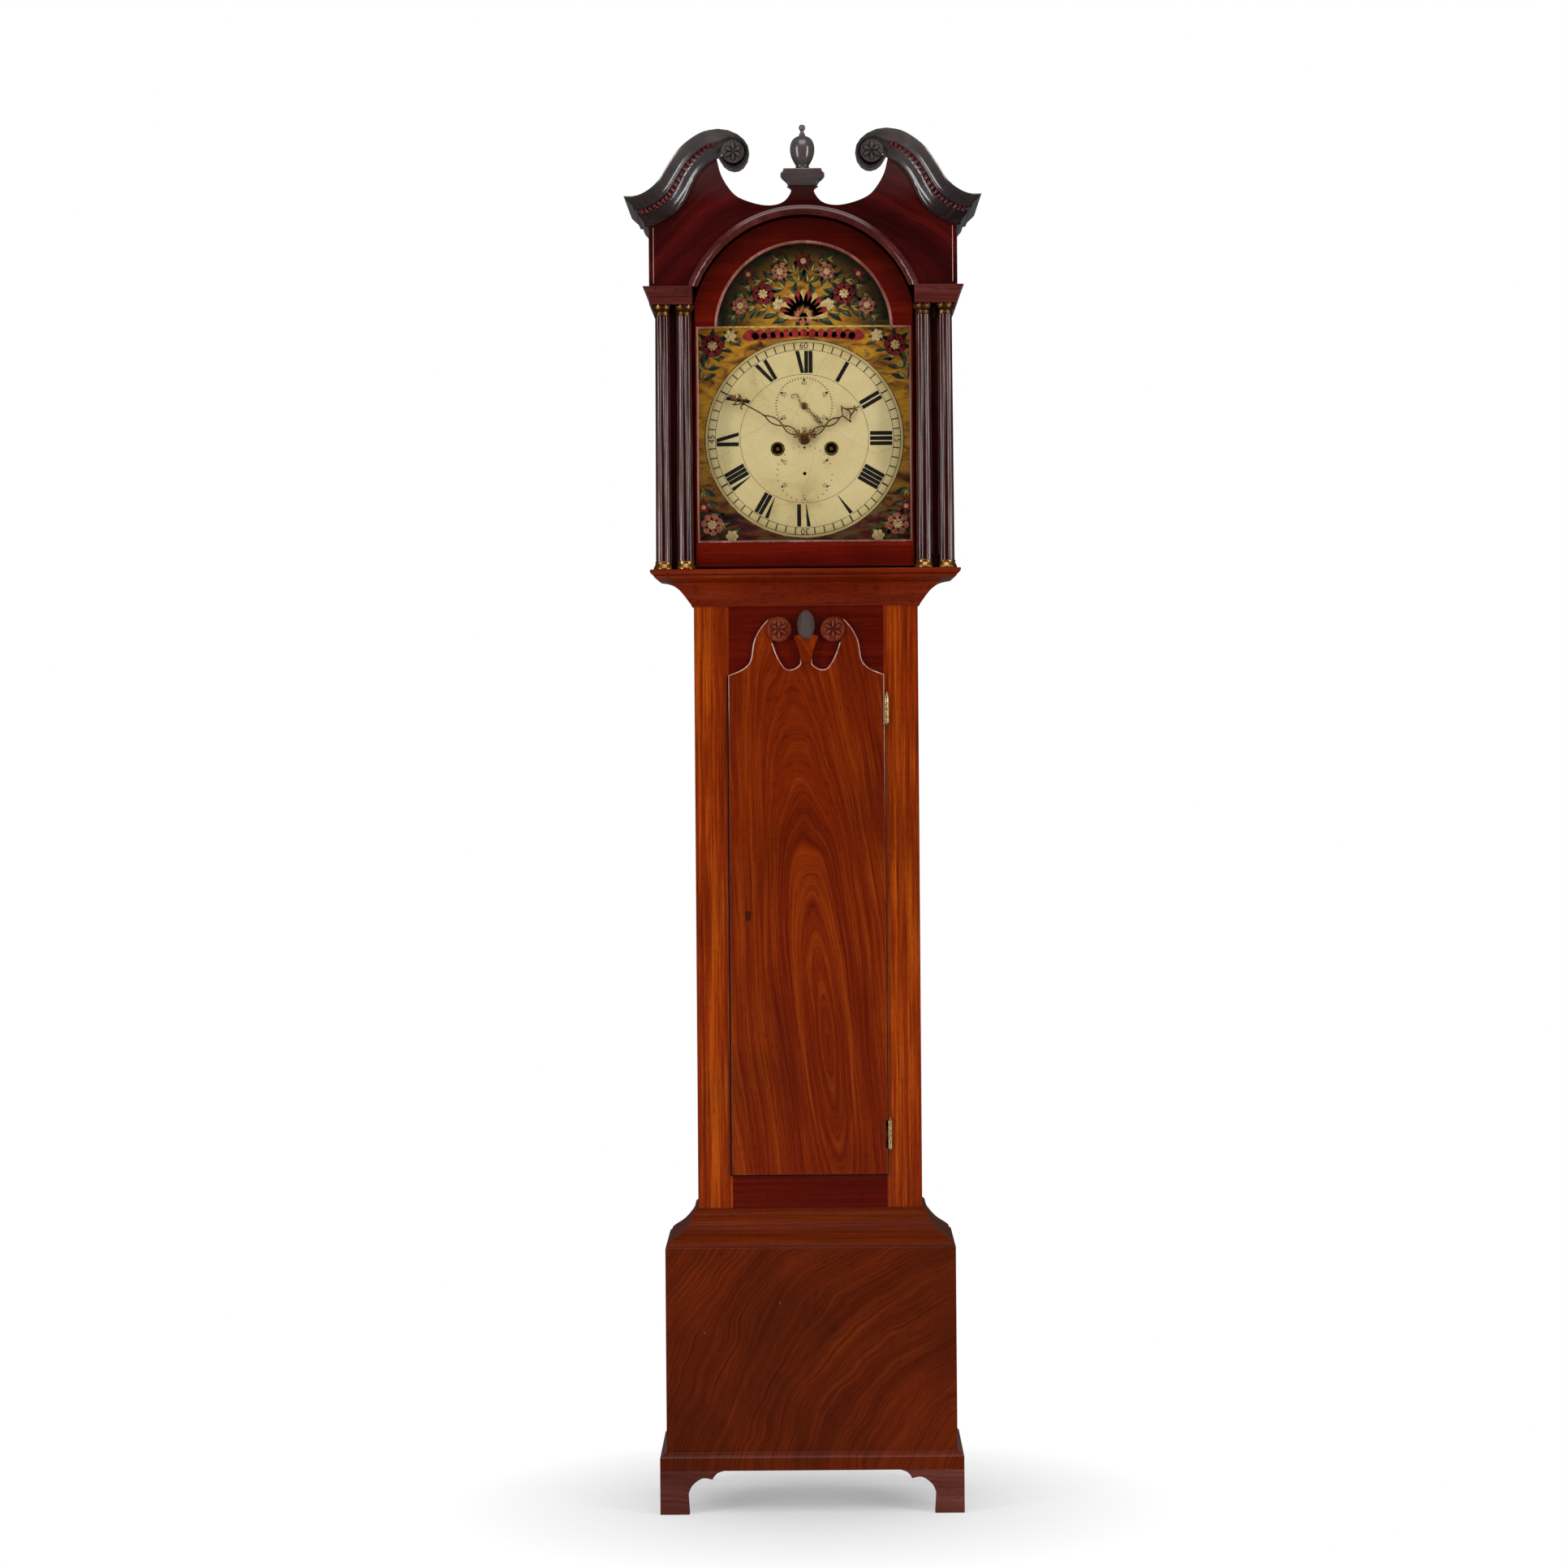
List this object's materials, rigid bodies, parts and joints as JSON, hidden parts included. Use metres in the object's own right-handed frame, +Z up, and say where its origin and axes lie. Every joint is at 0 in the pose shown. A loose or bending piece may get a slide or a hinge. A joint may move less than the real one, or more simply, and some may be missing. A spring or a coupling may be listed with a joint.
{
  "type": "longcase clock",
  "caption": "Tall mahogany longcase clock with a swan-neck hood, reeded columns, a painted arched dial, a carved trunk door and a weight-driven striking movement.",
  "frame": {"origin": "on the floor, at the middle of the clock's width and depth", "axes": "+X to the clock's left as it faces the room, which is right in the picture; +Y to the wall behind; +Z up"},
  "size_m": [0.5398, 0.2704, 2.1082],
  "materials": {
    "dark_mahogany": "French-polished dark red mahogany with a soft sheen",
    "trunk_mahogany": "polished orange-brown flame mahogany",
    "secondary_deal": "unpolished, darkened softwood",
    "aged_brass": "aged golden-brown brass",
    "movement_brass": "polished clock brass",
    "steel": "dull steel",
    "pane": "clear old glass",
    "painted_iron": "cream paint over sheet iron, fine age cracks",
    "cast_weight": "dark cast iron",
    "gut": "twisted gut line"
  },
  "bodies": {
    "case": {"backboard": "secondary_deal", "trunk_sides": "trunk_mahogany", "trunk_front_frame": "trunk_mahogany", "hood_support_moulding": "dark_mahogany", "waist_moulding": "dark_mahogany", "base_boards": "dark_mahogany", "plinth_moulding": "dark_mahogany", "bracket_feet": "dark_mahogany", "seatboard": "secondary_deal", "trunk_hinge_leaves": "aged_brass", "dial": "painted_iron", "dial_feet_and_pillars": "steel", "front_plate": "movement_brass", "back_plate": "movement_brass", "back_cock": "movement_brass", "bell": "movement_brass", "going_line": "gut", "strike_line": "gut"},
    "hood": {"hood_base_frame": "dark_mahogany", "hood_boards": "dark_mahogany", "tympanum": "dark_mahogany", "capital_and_arch_moulding": "dark_mahogany", "outer_columns": "dark_mahogany", "outer_column_brasses": "aged_brass", "swan_necks": "dark_mahogany", "pediment_rosettes": "dark_mahogany", "finial": "dark_mahogany", "dial_mask": "dark_mahogany"},
    "hood_door": {"hood_door_frame": "dark_mahogany", "hood_door_glass": "pane", "hood_door_columns": "dark_mahogany", "hood_door_brasses": "aged_brass"},
    "trunk_door": {"trunk_door_panel": "trunk_mahogany", "trunk_door_carving": "trunk_mahogany", "trunk_door_brasses": "aged_brass"},
    "door_bolt": {"lock_bolt": "steel"},
    "centre_arbor": {"centre_wheel": "movement_brass", "minute_hand": "aged_brass"},
    "minute_arbor": {"minute_wheel": "movement_brass"},
    "hour_pipe": {"hour_wheel": "movement_brass", "hour_hand": "aged_brass"},
    "third_arbor": {"third_wheel": "movement_brass"},
    "escape_arbor": {"escape_wheel": "movement_brass", "seconds_hand": "aged_brass"},
    "going_great": {"going_great_wheel": "movement_brass"},
    "going_drum": {"going_barrel": "movement_brass"},
    "pallets": {"anchor": "steel"},
    "pendulum": {"pendulum_rod": "steel", "pendulum_bob": "movement_brass"},
    "strike_great": {"strike_great_wheel": "movement_brass"},
    "strike_drum": {"strike_barrel": "movement_brass"},
    "pin_arbor": {"pin_wheel": "movement_brass"},
    "gathering_arbor": {"gathering_wheel": "movement_brass"},
    "warning_arbor": {"warning_wheel": "movement_brass"},
    "fly_arbor": {"fly": "movement_brass"},
    "bell_hammer": {"hammer": "steel"},
    "weight_going": {"going_weight": "cast_weight"},
    "weight_strike": {"strike_weight": "cast_weight"},
    "pulley_going": {"going_pulley": "aged_brass"},
    "pulley_strike": {"strike_pulley": "aged_brass"}
  },
  "joints": [
    {"name": "hood_slide", "type": "slide", "parent": "case", "child": "hood", "axis": [0, -1, 0], "range_m": [0, 0.3]},
    {"name": "hood_door_hinge", "type": "hinge", "parent": "hood", "child": "hood_door", "pos_m": [0.1984, -0.0887, 1.6], "axis": [0, 0, 1], "range_deg": [0, 95]},
    {"name": "trunk_door_hinge", "type": "hinge", "parent": "case", "child": "trunk_door", "pos_m": [0.123, -0.0408, 0.9], "axis": [0, 0, 1], "range_deg": [0, 110]},
    {"name": "lock_bolt_slide", "type": "slide", "parent": "trunk_door", "child": "door_bolt", "axis": [-1, 0, 0], "range_m": [0, 0.008]},
    {"name": "hand_turn", "type": "hinge", "parent": "case", "child": "centre_arbor", "pos_m": [0, 0.03, 1.635], "axis": [0, 1, 0], "continuous": true},
    {"name": "minute_wheel_turn", "type": "hinge", "parent": "case", "child": "minute_arbor", "pos_m": [0.022, 0.03, 1.6506], "axis": [0, 1, 0], "continuous": true},
    {"name": "hour_hand_turn", "type": "hinge", "parent": "case", "child": "hour_pipe", "pos_m": [0, 0.03, 1.635], "axis": [0, 1, 0], "continuous": true},
    {"name": "third_wheel_turn", "type": "hinge", "parent": "case", "child": "third_arbor", "pos_m": [0.016, 0.03, 1.661], "axis": [0, 1, 0], "continuous": true},
    {"name": "escape_wheel_turn", "type": "hinge", "parent": "case", "child": "escape_arbor", "pos_m": [0, 0.03, 1.685], "axis": [0, 1, 0], "continuous": true},
    {"name": "going_great_wheel_turn", "type": "hinge", "parent": "case", "child": "going_great", "pos_m": [0.041, 0.03, 1.6195], "axis": [0, 1, 0], "continuous": true},
    {"name": "gathering_turn", "type": "hinge", "parent": "case", "child": "gathering_arbor", "pos_m": [-0.0284, 0.03, 1.6832], "axis": [0, 1, 0], "continuous": true},
    {"name": "pin_wheel_turn", "type": "hinge", "parent": "case", "child": "pin_arbor", "pos_m": [-0.0376, 0.03, 1.658], "axis": [0, 1, 0], "continuous": true},
    {"name": "strike_great_wheel_turn", "type": "hinge", "parent": "case", "child": "strike_great", "pos_m": [-0.041, 0.03, 1.6195], "axis": [0, 1, 0], "continuous": true},
    {"name": "warning_wheel_turn", "type": "hinge", "parent": "case", "child": "warning_arbor", "pos_m": [-0.0323, 0.03, 1.7053], "axis": [0, 1, 0], "continuous": true},
    {"name": "fly_turn", "type": "hinge", "parent": "case", "child": "fly_arbor", "pos_m": [-0.0504, 0.03, 1.6987], "axis": [0, 1, 0], "continuous": true},
    {"name": "pendulum_swing", "type": "hinge", "parent": "case", "child": "pendulum", "pos_m": [0, 0.0867, 1.713], "axis": [0, 1, 0], "range_deg": [-2.5, 2.5]},
    {"name": "anchor_rock", "type": "hinge", "parent": "case", "child": "pallets", "pos_m": [0, 0.0867, 1.713], "axis": [0, 1, 0], "range_deg": [-2.5, 2.5]},
    {"name": "hammer_lift", "type": "hinge", "parent": "case", "child": "bell_hammer", "pos_m": [-0.072, 0.03, 1.655], "axis": [0, -1, 0], "range_deg": [0, 12]},
    {"name": "going_weight_lift", "type": "slide", "parent": "case", "child": "weight_going", "axis": [0, 0, 1], "range_m": [0, 1.05], "deforming": ["going_line"]},
    {"name": "going_barrel_wind", "type": "hinge", "parent": "case", "child": "going_drum", "pos_m": [0.041, 0.0308, 1.6195], "axis": [0, 1, 0], "range_deg": [0, 5710]},
    {"name": "going_pulley_turn", "type": "hinge", "parent": "weight_going", "child": "pulley_going", "pos_m": [0.041, 0.0308, 0.355], "axis": [0, 1, 0], "range_deg": [-2860, 2860]},
    {"name": "strike_weight_lift", "type": "slide", "parent": "case", "child": "weight_strike", "axis": [0, 0, 1], "range_m": [0, 1.05], "deforming": ["strike_line"]},
    {"name": "strike_barrel_wind", "type": "hinge", "parent": "case", "child": "strike_drum", "pos_m": [-0.041, 0.0308, 1.6195], "axis": [0, 1, 0], "range_deg": [0, 5710]},
    {"name": "strike_pulley_turn", "type": "hinge", "parent": "weight_strike", "child": "pulley_strike", "pos_m": [-0.041, 0.0308, 0.355], "axis": [0, 1, 0], "range_deg": [-2860, 2860]}
  ],
  "couplings": [
    {"joint": "hand_turn", "follows": "escape_wheel_turn", "ratio": 0.016667},
    {"joint": "minute_wheel_turn", "follows": "escape_wheel_turn", "ratio": -0.016667},
    {"joint": "hour_hand_turn", "follows": "escape_wheel_turn", "ratio": 0.0013889},
    {"joint": "third_wheel_turn", "follows": "escape_wheel_turn", "ratio": -0.125},
    {"joint": "going_great_wheel_turn", "follows": "escape_wheel_turn", "ratio": -0.0013889},
    {"joint": "gathering_turn", "follows": "fly_turn", "ratio": 0.020833},
    {"joint": "pin_wheel_turn", "follows": "fly_turn", "ratio": -0.0026042},
    {"joint": "strike_great_wheel_turn", "follows": "fly_turn", "ratio": 0.00024802},
    {"joint": "warning_wheel_turn", "follows": "fly_turn", "ratio": -0.14583},
    {"joint": "anchor_rock", "follows": "pendulum_swing", "ratio": 1},
    {"joint": "going_barrel_wind", "follows": "going_weight_lift", "rad_per_m": 94.787},
    {"joint": "strike_barrel_wind", "follows": "strike_weight_lift", "rad_per_m": 94.787},
    {"joint": "going_pulley_turn", "follows": "going_weight_lift", "rad_per_m": 47.393},
    {"joint": "strike_pulley_turn", "follows": "strike_weight_lift", "rad_per_m": 47.393}
  ]
}
